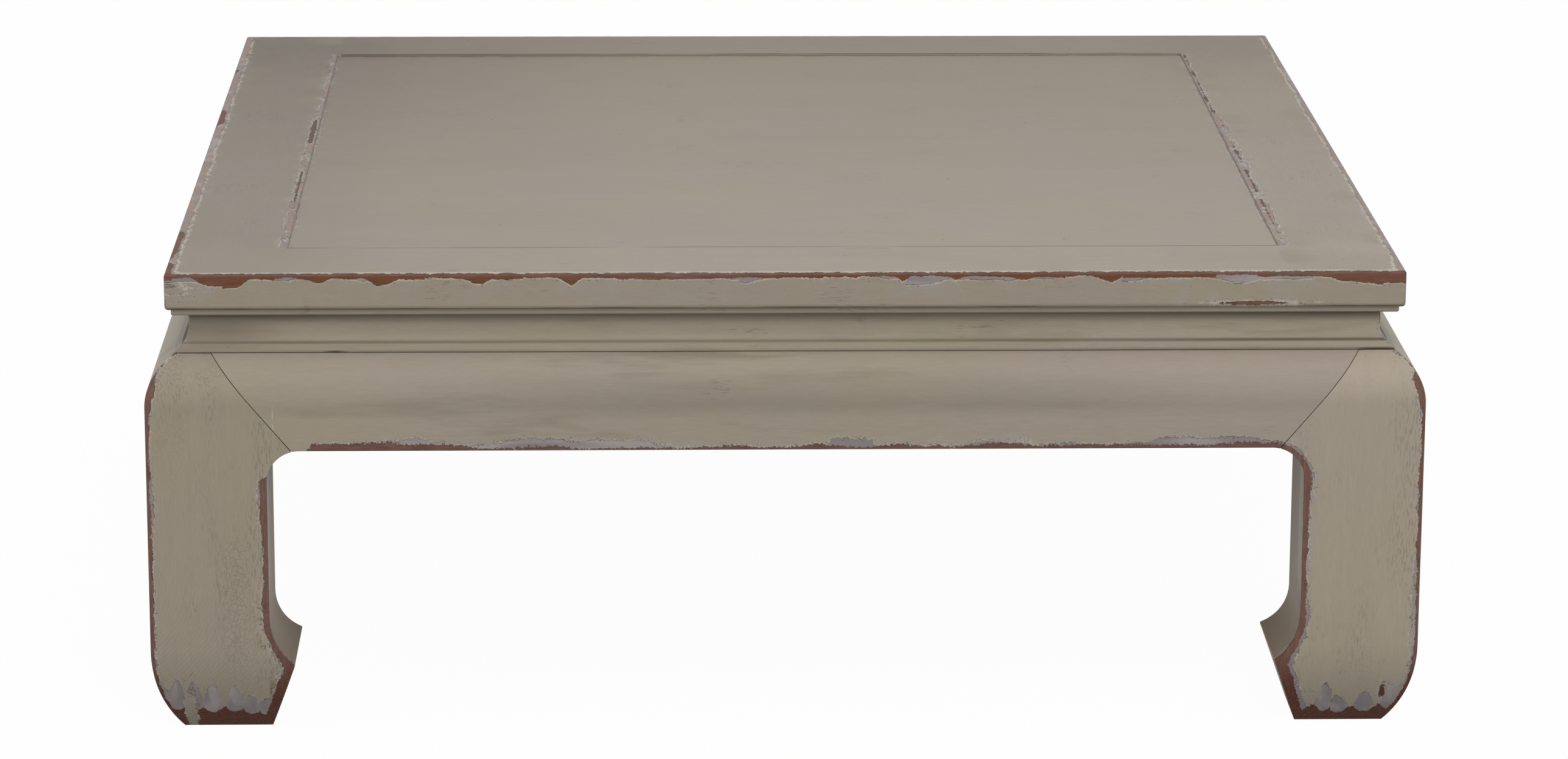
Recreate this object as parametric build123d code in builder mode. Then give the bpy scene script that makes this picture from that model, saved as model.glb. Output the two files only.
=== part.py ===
from build123d import *
import os
from dataclasses import dataclass
from math import sqrt

# A square low table: a mitred frame with a floating panel, a recessed waist, a sloping ledge,
# swelling aprons, and legs that end in inward-turned hoof feet.
# Lengths are millimetres. +X is the table's right, +Y its back, +Z up.
# The origin is on the floor, under the centre of the top.

# Overall
top_width = 1000.0
top_depth = 1000.0
height = 382.0

# Top frame
top_thickness = 35.5
frame_width = 93.0
top_arris = 3.0
corner_round = 2.5
edge_round = 4.5
bead_inset = 4.8
bead_height = 4.9
bead_round = 2.0
lip_bevel = 1.0
rail_tenon_width = 46.0
rail_tenon_thickness = 10.0
rail_tenon_setback = 28.0
rail_tenon_stop = 14.0

# Floating panel and the battens under it
panel_thickness = 17.0
panel_drop = 1.8
panel_gap = 0.5
panel_bevel = 0.5
panel_tongue = 8.0
panel_tongue_thickness = 7.0
panel_play = 1.5
batten_spacing = 255.0
batten_width = 24.0
batten_depth = 14.0
batten_neck = 16.0
batten_head = 21.0
dovetail_depth = 5.0
batten_tenon = 8.0
batten_tenon_width = 16.0
batten_tenon_thickness = 8.0

# Waist and ledge
waist_inset = 18.0
waist_height = 24.7
waist_thickness = 12.0
cove_height = 9.0
cove_reach = 5.2
ledge_thickness = 6.3
ledge_inset = 6.7
ledge_nose = 0.8
ledge_fillet = 0.6
tongue_thickness = 5.0
tongue_setback = 3.0
waist_tongue = 5.0
ledge_tongue = 3.0

# Aprons
apron_height = 76.5
apron_swell = 16.5
swell_height = 39.2
apron_inset = 23.0
quirk_height = 0.8
quirk_depth = 2.5

# Legs
leg_inset = 80.0
corner_radius = 27.0
hoof_height = 99.0
toe_height = 57.0
toe_reach = 20.0
heel_height = 71.0
heel_inset = 8.0
leg_ease = 14.0
toe_ease = 5.0
ease_flat = 0.31
ease_steps = 4
ease_margin = 1.0

# Joint of apron and leg: mitred shoulder, triangular tongue and hanging dovetail key
seam_foot = 21.0
seam_head = 44.0
seam_gap = 0.7
shoulder_tongue = 10.0
shoulder_tongue_setback = 11.0
shoulder_tongue_foot = 16.0
shoulder_tongue_head = 18.0
key_setback = 12.0
key_root = 8.0
key_head = 12.0
key_depth = 7.0
key_drop = 8.0

# Stub tenons of the legs in the top frame
leg_tenon_long = 13.0
leg_tenon_short = 9.0
leg_tenon_shoulder = 3.0
leg_tenon_web = 5.0

# Fits
fit = 0.15
end_play = 0.5

# Levels above the floor
z_top = height
z_frame = z_top - top_thickness
z_ledge = z_frame - waist_height
z_shoulder = z_ledge - ledge_thickness
z_hem = z_shoulder - apron_height
z_belly = z_shoulder - quirk_height - swell_height
z_panel_top = z_top - panel_drop
z_panel = z_panel_top - panel_thickness
z_rail_tenon = z_frame + leg_tenon_long + leg_tenon_web / 2
z_batten = z_panel - batten_depth

# Insets from the edge of the top that several pieces share
post_inset = waist_inset + waist_thickness
waist_tongue_inset = post_inset - tongue_setback - tongue_thickness / 2
ledge_tongue_inset = apron_inset - tongue_setback - tongue_thickness / 2
quirk_inset = ledge_inset + quirk_depth
leg_tenon_size = (leg_inset - post_inset - leg_tenon_web) / 2 - leg_tenon_shoulder
leg_tenon_outer = post_inset + leg_tenon_shoulder + leg_tenon_size / 2
leg_tenon_inner = leg_inset - leg_tenon_shoulder - leg_tenon_size / 2

panel_width = top_width - 2 * frame_width
panel_depth = top_depth - 2 * frame_width
batten_places = {"left": -batten_spacing, "middle": 0.0, "right": batten_spacing}


@dataclass
class Side:
    """One side of the table. Its section plane has x outwards and y up, its elevation plane has
    x along the side and y up, and half is the distance from the centre to the top's edge."""

    name: str
    opposite: str
    half: float
    run: float
    section: Plane
    elevation: Plane
    along: Vector
    mirror_plane: Plane
    mitres: tuple

    def plan(self, level):
        """A level plane with x along the side and -y outwards."""
        return Plane(origin=(0, 0, level), x_dir=self.along, z_dir=(0, 0, 1))


front = Side(
    name="front",
    opposite="back",
    half=top_depth / 2,
    run=top_width,
    section=Plane(origin=(0, 0, 0), x_dir=(0, -1, 0), z_dir=(-1, 0, 0)),
    elevation=Plane(origin=(0, 0, 0), x_dir=(1, 0, 0), z_dir=(0, -1, 0)),
    along=Vector(1, 0, 0),
    mirror_plane=Plane.XZ,
    mitres=(
        Plane(origin=(top_width / 2, -top_depth / 2, 0), z_dir=(1, 1, 0)),
        Plane(origin=(-top_width / 2, -top_depth / 2, 0), z_dir=(-1, 1, 0)),
    ),
)
right = Side(
    name="right",
    opposite="left",
    half=top_width / 2,
    run=top_depth,
    section=Plane(origin=(0, 0, 0), x_dir=(1, 0, 0), z_dir=(0, -1, 0)),
    elevation=Plane(origin=(0, 0, 0), x_dir=(0, 1, 0), z_dir=(1, 0, 0)),
    along=Vector(0, 1, 0),
    mirror_plane=Plane.YZ,
    mitres=(
        Plane(origin=(top_width / 2, -top_depth / 2, 0), z_dir=(-1, -1, 0)),
        Plane(origin=(top_width / 2, top_depth / 2, 0), z_dir=(-1, 1, 0)),
    ),
)


def corner_level(inset_past_leg):
    """Height of the rounded inner corner, at a distance past the leg's inner face."""
    from_centre = corner_radius - inset_past_leg
    return z_hem - corner_radius + sqrt(corner_radius**2 - from_centre**2)


def seam_point(half, level):
    """Where the shoulder mitre of a leg and an apron crosses a level, in the elevation."""
    foot_level = corner_level(seam_foot)
    foot = half - leg_inset - seam_foot
    head = half - leg_inset + seam_head
    share = (level - foot_level) / (z_shoulder - foot_level)
    return foot + share * (head - foot), level


def make_top_rail(side, tenoned):
    with BuildPart() as rail:
        inner = side.half - frame_width
        groove = inner + panel_tongue + panel_play
        groove_top = z_panel + panel_tongue_thickness + fit
        slot_in = side.half - waist_tongue_inset - tongue_thickness / 2 - fit
        slot_out = slot_in + tongue_thickness + 2 * fit
        slot_top = z_frame + waist_tongue + end_play
        bead = side.half - bead_inset
        flat = z_frame + bead_height + edge_round
        with BuildSketch(side.section):
            with BuildLine():
                Polyline(
                    (side.half - top_arris, z_top),
                    (inner + lip_bevel, z_top),
                    (inner, z_top - lip_bevel),
                    (inner, groove_top),
                    (groove, groove_top),
                    (groove, z_panel),
                    (inner, z_panel),
                    (inner, z_frame),
                    (slot_in, z_frame),
                    (slot_in, slot_top),
                    (slot_out, slot_top),
                    (slot_out, z_frame),
                    (bead - bead_round, z_frame),
                )
                TangentArc((bead - bead_round, z_frame), (bead, z_frame + bead_round), tangent=(1, 0))
                Polyline(
                    (bead, z_frame + bead_round),
                    (bead, z_frame + bead_height),
                    (side.half - edge_round, z_frame + bead_height),
                )
                TangentArc((side.half - edge_round, z_frame + bead_height), (side.half, flat), tangent=(1, 0))
                Line((side.half, flat), (side.half, z_top - top_arris))
                TangentArc((side.half, z_top - top_arris), (side.half - top_arris, z_top), tangent=(0, 1))
            make_face()
        extrude(amount=side.run / 2, both=True)
        for mitre in side.mitres:
            split(bisect_by=mitre, keep=Keep.BOTTOM)
        with BuildSketch(Plane.XY.offset(z_frame)):
            RectangleRounded(top_width, top_depth, corner_round)
        extrude(amount=top_thickness, mode=Mode.INTERSECT)

        # Mortises for the leg tenons, one at each end
        leg_depth = (leg_tenon_short if tenoned else leg_tenon_long) + end_play
        with BuildSketch(side.plan(z_frame)):
            with Locations(
                (side.run / 2 - leg_tenon_inner, leg_tenon_outer - side.half),
                (leg_tenon_inner - side.run / 2, leg_tenon_outer - side.half),
            ):
                Rectangle(leg_tenon_size + 2 * fit, leg_tenon_size + 2 * fit)
        extrude(amount=leg_depth, mode=Mode.SUBTRACT)

        tenon_middle = rail_tenon_setback + rail_tenon_width / 2
        if tenoned:
            # Blind tenons that run on past both mitres
            tenon_length = frame_width - rail_tenon_stop
            tenon_place = side.run / 2 - frame_width + tenon_length / 2
            with BuildSketch(side.plan(z_rail_tenon)):
                with Locations((tenon_place, tenon_middle - side.half), (-tenon_place, tenon_middle - side.half)):
                    Rectangle(tenon_length, rail_tenon_width)
            extrude(amount=rail_tenon_thickness)
        else:
            # Mortises for those tenons, and for the battens
            mortise_depth = frame_width - rail_tenon_stop + end_play
            mortise_place = side.run / 2 - tenon_middle
            with BuildSketch(side.plan(z_rail_tenon)):
                across = frame_width - mortise_depth / 2 - side.half
                with Locations((mortise_place, across), (-mortise_place, across)):
                    Rectangle(rail_tenon_width + 2 * fit, mortise_depth)
            extrude(amount=rail_tenon_thickness + fit, mode=Mode.SUBTRACT)
            with BuildSketch(side.elevation.offset(inner)):
                for place in batten_places.values():
                    with Locations((place, z_batten + batten_depth / 2)):
                        Rectangle(batten_tenon_width + 2 * fit, batten_tenon_thickness + 2 * fit)
            extrude(amount=batten_tenon + end_play, mode=Mode.SUBTRACT)
    return rail.part


def make_panel():
    with BuildPart() as panel:
        with BuildSketch(Plane.XY.offset(z_panel)):
            Rectangle(panel_width + 2 * panel_tongue, panel_depth + 2 * panel_tongue)
        extrude(amount=panel_tongue_thickness)
        with BuildSketch(Plane.XY.offset(z_panel)):
            Rectangle(panel_width - 2 * panel_gap, panel_depth - 2 * panel_gap)
        extrude(amount=panel_thickness)
        chamfer(panel.faces().sort_by(Axis.Z)[-1].edges(), panel_bevel)
        for place in batten_places.values():
            with BuildSketch(Plane.XZ):
                with BuildLine():
                    Polyline(
                        (place - batten_neck / 2 - fit, z_panel),
                        (place - batten_head / 2 - fit, z_panel + dovetail_depth + fit),
                        (place + batten_head / 2 + fit, z_panel + dovetail_depth + fit),
                        (place + batten_neck / 2 + fit, z_panel),
                        close=True,
                    )
                make_face()
            extrude(amount=panel_depth / 2 + panel_tongue, both=True, mode=Mode.SUBTRACT)
    return panel.part


def make_batten(place):
    with BuildPart() as batten:
        with BuildSketch(Plane.XZ):
            with BuildLine():
                Polyline(
                    (place - batten_width / 2, z_batten),
                    (place - batten_width / 2, z_panel),
                    (place - batten_neck / 2, z_panel),
                    (place - batten_head / 2, z_panel + dovetail_depth),
                    (place + batten_head / 2, z_panel + dovetail_depth),
                    (place + batten_neck / 2, z_panel),
                    (place + batten_width / 2, z_panel),
                    (place + batten_width / 2, z_batten),
                    close=True,
                )
            make_face()
        extrude(amount=panel_depth / 2, both=True)
        with BuildSketch(Plane.XZ):
            with Locations((place, z_batten + batten_depth / 2)):
                Rectangle(batten_tenon_width, batten_tenon_thickness)
        extrude(amount=panel_depth / 2 + batten_tenon, both=True)
    return batten.part


def make_waist(side):
    with BuildPart() as waist:
        inner = side.half - post_inset
        face = side.half - waist_inset
        tongue_in = side.half - waist_tongue_inset - tongue_thickness / 2
        tongue_out = tongue_in + tongue_thickness
        with BuildSketch(side.section):
            with BuildLine():
                TangentArc((face, z_ledge + cove_height), (face + cove_reach, z_ledge), tangent=(0, -1))
                Polyline(
                    (face + cove_reach, z_ledge),
                    (tongue_out, z_ledge),
                    (tongue_out, z_ledge - ledge_tongue),
                    (tongue_in, z_ledge - ledge_tongue),
                    (tongue_in, z_ledge),
                    (inner, z_ledge),
                    (inner, z_frame),
                    (tongue_in, z_frame),
                    (tongue_in, z_frame + waist_tongue),
                    (tongue_out, z_frame + waist_tongue),
                    (tongue_out, z_frame),
                    (face, z_frame),
                    (face, z_ledge + cove_height),
                )
            make_face()
        extrude(amount=side.run / 2, both=True)
        for mitre in side.mitres:
            split(bisect_by=mitre, keep=Keep.BOTTOM)
    return waist.part


def make_ledge(side):
    with BuildPart() as ledge:
        inner = side.half - post_inset
        crest = side.half - waist_inset + cove_reach + ledge_fillet
        nose = side.half - ledge_inset
        with BuildSketch(side.section):
            with BuildLine():
                Polyline(
                    (inner, z_shoulder),
                    (nose, z_shoulder),
                    (nose, z_shoulder + ledge_nose),
                    (crest, z_ledge),
                    (inner, z_ledge),
                    close=True,
                )
            make_face()
            # Grooves for the waist's tongue above and the apron's tongue below
            with Locations((side.half - waist_tongue_inset, z_ledge - (ledge_tongue + fit) / 2)):
                Rectangle(tongue_thickness + 2 * fit, ledge_tongue + fit, mode=Mode.SUBTRACT)
            with Locations((side.half - ledge_tongue_inset, z_shoulder + (ledge_tongue + fit) / 2)):
                Rectangle(tongue_thickness + 2 * fit, ledge_tongue + fit, mode=Mode.SUBTRACT)
        extrude(amount=side.run / 2, both=True)
        for mitre in side.mitres:
            split(bisect_by=mitre, keep=Keep.BOTTOM)
    return ledge.part


def make_apron(side):
    with BuildPart() as apron:
        back = side.half - apron_inset
        belly = side.half + apron_swell
        tongue_in = side.half - ledge_tongue_inset - tongue_thickness / 2
        tongue_out = tongue_in + tongue_thickness
        z_tongue = z_shoulder + ledge_tongue
        z_quirk = z_shoulder - quirk_height
        lip = side.half - ledge_inset
        with BuildSketch(side.section):
            with BuildLine():
                TangentArc((belly, z_belly), (lip, z_quirk), tangent=(0, 1))
                Polyline(
                    (lip, z_quirk),
                    (side.half - quirk_inset, z_quirk),
                    (side.half - quirk_inset, z_shoulder),
                    (tongue_out, z_shoulder),
                    (tongue_out, z_tongue),
                    (tongue_in, z_tongue),
                    (tongue_in, z_shoulder),
                    (back, z_shoulder),
                    (back, z_hem - corner_radius),
                    (belly, z_hem - corner_radius),
                    (belly, z_belly),
                )
            make_face()
        extrude(amount=side.run / 2, both=True)

        # Seen from outside: rounded inner corners and mitred shoulders
        half_run = side.run / 2
        round_end = half_run - leg_inset - corner_radius
        foot = seam_point(half_run, corner_level(seam_foot))
        head = seam_point(half_run, z_shoulder)
        with BuildSketch(side.elevation):
            with BuildLine():
                Line((0, z_hem), (round_end, z_hem))
                TangentArc((round_end, z_hem), foot, tangent=(1, 0))
                Polyline(foot, head, (head[0], z_tongue), (0, z_tongue), (0, z_hem))
            make_face()
            mirror(about=Plane.YZ)
        extrude(amount=belly, mode=Mode.INTERSECT)

        # Triangular tongues behind the shoulders
        low = seam_point(half_run, z_hem + shoulder_tongue_foot)
        high = seam_point(half_run, z_shoulder - shoulder_tongue_head)
        with BuildSketch(side.elevation.offset(back + shoulder_tongue_setback)):
            with BuildLine():
                Polyline(low, (high[0], low[1]), high, close=True)
            make_face()
            mirror(about=Plane.YZ)
        extrude(amount=shoulder_tongue)

        # Dovetail slots in the back, open below, that drop over the keys of the legs
        key_place = half_run - leg_inset + key_setback
        with BuildSketch(side.plan(z_shoulder - key_drop)):
            with BuildLine():
                Polyline(
                    (key_place - key_root / 2 - fit, -back),
                    (key_place - key_head / 2 - fit, -back - key_depth - fit),
                    (key_place + key_head / 2 + fit, -back - key_depth - fit),
                    (key_place + key_root / 2 + fit, -back),
                    close=True,
                )
            make_face()
            mirror(about=Plane.YZ)
        extrude(amount=-apron_height, mode=Mode.SUBTRACT)
    return apron.part


def toe_flare(level):
    """How far the hoof's inner curve stands inside the leg's inner face, between toe and leg."""
    rise = hoof_height - toe_height
    radius = (rise**2 + toe_reach**2) / (2 * toe_reach)
    return radius - sqrt(radius**2 - (hoof_height - level) ** 2)


def ease_section(level, flare, ease):
    """What the easing of the leg's inner corner takes away at one level: outside a round."""
    x = right.half - leg_inset - flare
    y = leg_inset + flare - front.half
    with BuildSketch(Plane.XY.offset(level)) as section:
        with BuildLine():
            ThreePointArc((x + ease, y), (x + ease_flat * ease, y - ease_flat * ease), (x, y - ease))
            Polyline(
                (x, y - ease),
                (x - ease_margin, y - ease),
                (x - ease_margin, y + ease_margin),
                (x + ease, y + ease_margin),
                (x + ease, y),
            )
        make_face()
    return section.sketch.face()


def make_corner_ease():
    """The wood taken off the leg's inner corner: full on the leg, slighter down to the toe."""
    curve = []
    for step in range(ease_steps + 1):
        share = step / ease_steps
        level = toe_height + share * (hoof_height - toe_height)
        ease = toe_ease + share * (leg_ease - toe_ease)
        curve.append(ease_section(level, toe_flare(level), ease))
    sole = ease_section(0, 0, toe_ease)
    with BuildPart() as corner_ease:
        loft([sole, curve[0]], ruled=True)
        loft(curve)
        extrude(curve[-1], amount=z_frame - hoof_height)
    return corner_ease.part


def make_leg():
    """The front right leg. Both of its views, from the front and from the side, are alike."""
    toe_layer = leg_inset + toe_reach
    corner_ease = make_corner_ease()
    views = (
        (front.elevation, right.half, front.half, 1),
        (front.section, front.half, right.half, -1),
    )
    with BuildPart() as leg:
        # The leg and its hoof: one silhouette crossed with the other
        for plane, half, depth_half, outward in views:
            inner = half - leg_inset
            belly = half + apron_swell
            lip = half - ledge_inset
            z_quirk = z_shoulder - quirk_height
            with BuildSketch(plane.offset(outward * (depth_half - toe_layer))):
                with BuildLine():
                    Line((inner, 0), (inner - toe_reach, toe_height))
                    TangentArc((inner, hoof_height), (inner - toe_reach, toe_height), tangent=(0, -1))
                    Polyline(
                        (inner, hoof_height),
                        (inner, z_shoulder),
                        (half - quirk_inset, z_shoulder),
                        (half - quirk_inset, z_quirk),
                        (lip, z_quirk),
                    )
                    TangentArc((belly, z_belly), (lip, z_quirk), tangent=(0, 1))
                    Line((belly, z_belly), (belly, heel_height))
                    TangentArc((belly, heel_height), (half - heel_inset, 0), tangent=(0, -1))
                    Line((half - heel_inset, 0), (inner, 0))
                make_face()
            extrude(
                amount=outward * (toe_layer + apron_swell),
                mode=Mode.ADD if outward > 0 else Mode.INTERSECT,
            )

        # Shoulders: the part above each mitre goes to the apron, the tip below it stays
        for plane, half, depth_half, outward in views:
            inner = half - leg_inset
            layer = plane.offset(outward * (depth_half - apron_inset))
            layer_depth = outward * (apron_inset + apron_swell)
            overlap = corner_radius / 8
            head = seam_point(half + seam_gap, z_shoulder)
            slope = (head[0] - seam_point(half + seam_gap, z_hem)[0]) / apron_height
            with BuildSketch(layer):
                with BuildLine():
                    Polyline(
                        (inner, z_shoulder - (head[0] - inner) / slope),
                        head,
                        (inner, z_shoulder),
                        close=True,
                    )
                make_face()
            extrude(amount=layer_depth, mode=Mode.SUBTRACT)
            foot_level = corner_level(seam_foot - seam_gap)
            with BuildSketch(layer):
                with BuildLine():
                    TangentArc(
                        (inner, z_hem - corner_radius),
                        (inner - seam_foot + seam_gap, foot_level),
                        tangent=(0, 1),
                    )
                    Polyline(
                        (inner - seam_foot + seam_gap, foot_level),
                        (inner, z_shoulder - (head[0] - inner) / slope),
                        (inner + overlap, z_shoulder - (head[0] - inner) / slope),
                        (inner + overlap, z_hem - corner_radius),
                        (inner, z_hem - corner_radius),
                    )
                make_face()
            extrude(amount=layer_depth)

            # Triangular mortise behind the mitre
            low = seam_point(half, z_hem + shoulder_tongue_foot)
            high = seam_point(half, z_shoulder - shoulder_tongue_head)
            with BuildSketch(plane.offset(outward * (depth_half - apron_inset + shoulder_tongue_setback - fit))):
                with BuildLine():
                    Polyline(
                        (low[0] - end_play, low[1] - end_play),
                        (high[0] + end_play, low[1] - end_play),
                        (high[0] + end_play, high[1] + end_play),
                        (low[0] - end_play, high[1] + end_play),
                        close=True,
                    )
                make_face()
            extrude(amount=outward * (shoulder_tongue + 2 * fit), mode=Mode.SUBTRACT)

        # Hanging dovetail keys on the core's two outer faces
        key_low = z_hem
        key_high = z_shoulder - key_drop - end_play
        with BuildSketch(Plane.XY.offset(key_low)):
            with BuildLine():
                back = front.half - apron_inset
                key_place = right.half - leg_inset + key_setback
                Polyline(
                    (key_place - key_root / 2, -back),
                    (key_place - key_head / 2, -back - key_depth),
                    (key_place + key_head / 2, -back - key_depth),
                    (key_place + key_root / 2, -back),
                    close=True,
                )
            make_face()
            with BuildLine():
                back = right.half - apron_inset
                key_place = front.half - leg_inset + key_setback
                Polyline(
                    (back, key_root / 2 - key_place),
                    (back + key_depth, key_head / 2 - key_place),
                    (back + key_depth, -key_head / 2 - key_place),
                    (back, -key_root / 2 - key_place),
                    close=True,
                )
            make_face()
        extrude(amount=key_high - key_low)

        # Post behind the waist, and its long and short tenons
        post = leg_inset - post_inset
        with BuildSketch(Plane.XY.offset(z_shoulder)):
            with Locations((right.half - post_inset - post / 2, post_inset + post / 2 - front.half)):
                Rectangle(post, post)
        extrude(amount=z_frame - z_shoulder)
        add(corner_ease, mode=Mode.SUBTRACT)
        with BuildSketch(Plane.XY.offset(z_frame)):
            with Locations((right.half - leg_tenon_inner, leg_tenon_outer - front.half)):
                Rectangle(leg_tenon_size, leg_tenon_size)
        extrude(amount=leg_tenon_long)
        with BuildSketch(Plane.XY.offset(z_frame)):
            with Locations((right.half - leg_tenon_outer, leg_tenon_inner - front.half)):
                Rectangle(leg_tenon_size, leg_tenon_size)
        extrude(amount=leg_tenon_short)
    return leg.part


def write_piece(piece, name):
    piece.label = name
    export_step(piece, f"parts/{name}.step")


def write_mirrored(piece, name, plane):
    with BuildPart() as other:
        mirror(piece, about=plane)
    write_piece(other.part, name)


os.makedirs("parts", exist_ok=True)

for side in (front, right):
    pieces = {
        "top_rail": make_top_rail(side, tenoned=side is right),
        "waist": make_waist(side),
        "ledge": make_ledge(side),
        "apron": make_apron(side),
    }
    for kind, piece in pieces.items():
        write_piece(piece, f"{kind}_{side.name}")
        write_mirrored(piece, f"{kind}_{side.opposite}", side.mirror_plane)

write_piece(make_panel(), "top_panel")
for name, place in batten_places.items():
    write_piece(make_batten(place), f"batten_{name}")

leg = make_leg()
with BuildPart() as back_leg:
    mirror(leg, about=Plane.XZ)
write_piece(leg, "leg_front_right")
write_mirrored(leg, "leg_front_left", Plane.YZ)
write_piece(back_leg.part, "leg_back_right")
write_mirrored(back_leg.part, "leg_back_left", Plane.YZ)
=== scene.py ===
from math import atan2, cos, pi, radians, sin

import bmesh
import bpy
from mathutils import Matrix, Vector


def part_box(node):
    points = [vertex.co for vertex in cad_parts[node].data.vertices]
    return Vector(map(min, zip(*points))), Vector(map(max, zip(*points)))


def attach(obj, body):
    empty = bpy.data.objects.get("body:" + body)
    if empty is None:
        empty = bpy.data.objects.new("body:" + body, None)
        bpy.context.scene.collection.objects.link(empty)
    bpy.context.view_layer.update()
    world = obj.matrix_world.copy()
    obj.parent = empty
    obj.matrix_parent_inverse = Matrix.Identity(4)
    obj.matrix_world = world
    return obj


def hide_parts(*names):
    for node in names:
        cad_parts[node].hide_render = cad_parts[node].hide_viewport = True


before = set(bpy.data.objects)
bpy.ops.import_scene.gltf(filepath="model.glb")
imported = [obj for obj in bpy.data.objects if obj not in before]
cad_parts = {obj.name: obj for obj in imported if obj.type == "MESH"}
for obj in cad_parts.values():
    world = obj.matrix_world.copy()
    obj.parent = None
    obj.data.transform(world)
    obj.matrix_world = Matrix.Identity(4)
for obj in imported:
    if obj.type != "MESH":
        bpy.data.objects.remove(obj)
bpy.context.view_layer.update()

# Sizes read off the frame
TOP_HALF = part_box("top_rail_right")[1].x
TOP_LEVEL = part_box("top_rail_front")[1].z
PANEL_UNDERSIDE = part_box("top_panel")[0].z
RAIL_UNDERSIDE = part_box("top_rail_front")[0].z
LEDGE_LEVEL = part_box("ledge_front")[1].z
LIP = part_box("top_rail_right")[0].x
BODY_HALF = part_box("leg_front_right")[1].x
APRON_INNER = -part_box("apron_front")[1].y
WAIST_INNER = -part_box("waist_front")[1].y
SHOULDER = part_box("apron_front")[1].z - 0.003

# Sizes of the legs' outline
LEG_INNER = TOP_HALF - 0.080
CORNER_RADIUS = 0.027
HEM = SHOULDER - 0.0765
BELLY = SHOULDER - 0.040
SWELL = 0.0232
HEEL_TOP = 0.071
HEEL_INSET = 0.0245
HOOF_TOP = 0.099
TOE_LEVEL = 0.057
TOE_REACH = 0.020

MM = 0.001

# The most that the arrises of legs and aprons are eased
EASING = 0.4 * MM

# Single marks on the front: x and z of their middles
CHIP = (0.379, 0.3556)
SCRATCH = (-0.414, 0.2625)
KEPT_CORNER = (-0.386, 0.2195)
KEPT_TONGUE = (-0.4855, 10 * MM)
WORM_HOLE = (0.489, 31 * MM)

# Stretches of the front, along x: the hem's most worn part, and the open joints over the apron
WORN_HEM = (-0.384, -0.300)
OPEN_JOINTS = ((-0.372, -0.356), (0.462, 0.495))

# Dark worn stretches of the side rails' inner lips, along y
LEFT_LIP_WORN = ((0.0, 0.10), (-0.235, -0.115))
RIGHT_LIP_WORN = ((0.12, 0.40), (-0.33, 0.0))

# Middles of the growth rings on feet and on the left leg: the distances across and back added, and z
FOOT_RINGS = (BODY_HALF + 0.46, -0.06)
LEG_RINGS = (2 * BODY_HALF + 0.049, 0.134)


# ---------------------------------------------------------------- values that vary over a piece


class Field:
    """A value that varies over a surface: one socket of the node tree it is drawn in."""

    def __init__(self, tree, socket):
        self.tree = tree
        self.socket = socket

    def __add__(self, other):
        return calc("ADD", self, other)

    def __radd__(self, other):
        return calc("ADD", other, self)

    def __sub__(self, other):
        return calc("SUBTRACT", self, other)

    def __rsub__(self, other):
        return calc("SUBTRACT", other, self)

    def __mul__(self, other):
        return calc("MULTIPLY", self, other)

    def __rmul__(self, other):
        return calc("MULTIPLY", other, self)

    def __truediv__(self, other):
        return calc("DIVIDE", self, other)


def add_node(tree, kind, settings=None, inputs=None):
    """A node with its settings, and its inputs by name or number set or linked."""
    node = tree.nodes.new(kind)
    for name, value in (settings or {}).items():
        setattr(node, name, value)
    for name, value in (inputs or {}).items():
        if isinstance(value, Field):
            tree.links.new(value.socket, node.inputs[name])
        else:
            node.inputs[name].default_value = value
    return node


def calc(operation, *values):
    tree = next(value.tree for value in values if isinstance(value, Field))
    node = add_node(tree, "ShaderNodeMath", {"operation": operation}, dict(enumerate(values)))
    return Field(tree, node.outputs[0])


def size_of(value):
    return calc("ABSOLUTE", value)


def least(first, *others):
    for other in others:
        first = calc("MINIMUM", first, other)
    return first


def greatest(first, *others):
    for other in others:
        first = calc("MAXIMUM", first, other)
    return first


def span(a, b):
    """The length of a slope that goes a one way and b the other."""
    return calc("SQRT", a * a + b * b)


def rise(value, start, end):
    """0 before start, 1 past end, and smooth between. Where end is below start, it falls instead."""
    node = add_node(
        value.tree,
        "ShaderNodeMapRange",
        {"interpolation_type": "SMOOTHSTEP"},
        {"Value": value, "From Min": start, "From Max": end, "To Min": 0.0, "To Max": 1.0},
    )
    return Field(value.tree, node.outputs["Result"])


def mixed(share, below, above):
    """A colour between two: below where share is 0, above where it is 1."""
    tree = next(value.tree for value in (share, below, above) if isinstance(value, Field))
    node = add_node(tree, "ShaderNodeMix", {"data_type": "RGBA"}, {0: share, 6: below, 7: above})
    return Field(tree, node.outputs[2])


def between(share, below, above):
    return below + share * (above - below)


def darkened(colour, share):
    """A colour multiplied by a share between 0 and 1, or a little more."""
    node = add_node(colour.tree, "ShaderNodeVectorMath", {"operation": "SCALE"}, {0: colour, 3: share})
    return Field(colour.tree, node.outputs[0])


def paint_colour(red, green, blue):
    """A colour as a painter reads it off a chart, 0 to 255, in the light values Blender works in."""
    shares = [channel / 255 for channel in (red, green, blue)]
    return tuple(s / 12.92 if s < 0.04045 else ((s + 0.055) / 1.055) ** 2.4 for s in shares) + (1.0,)


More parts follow.
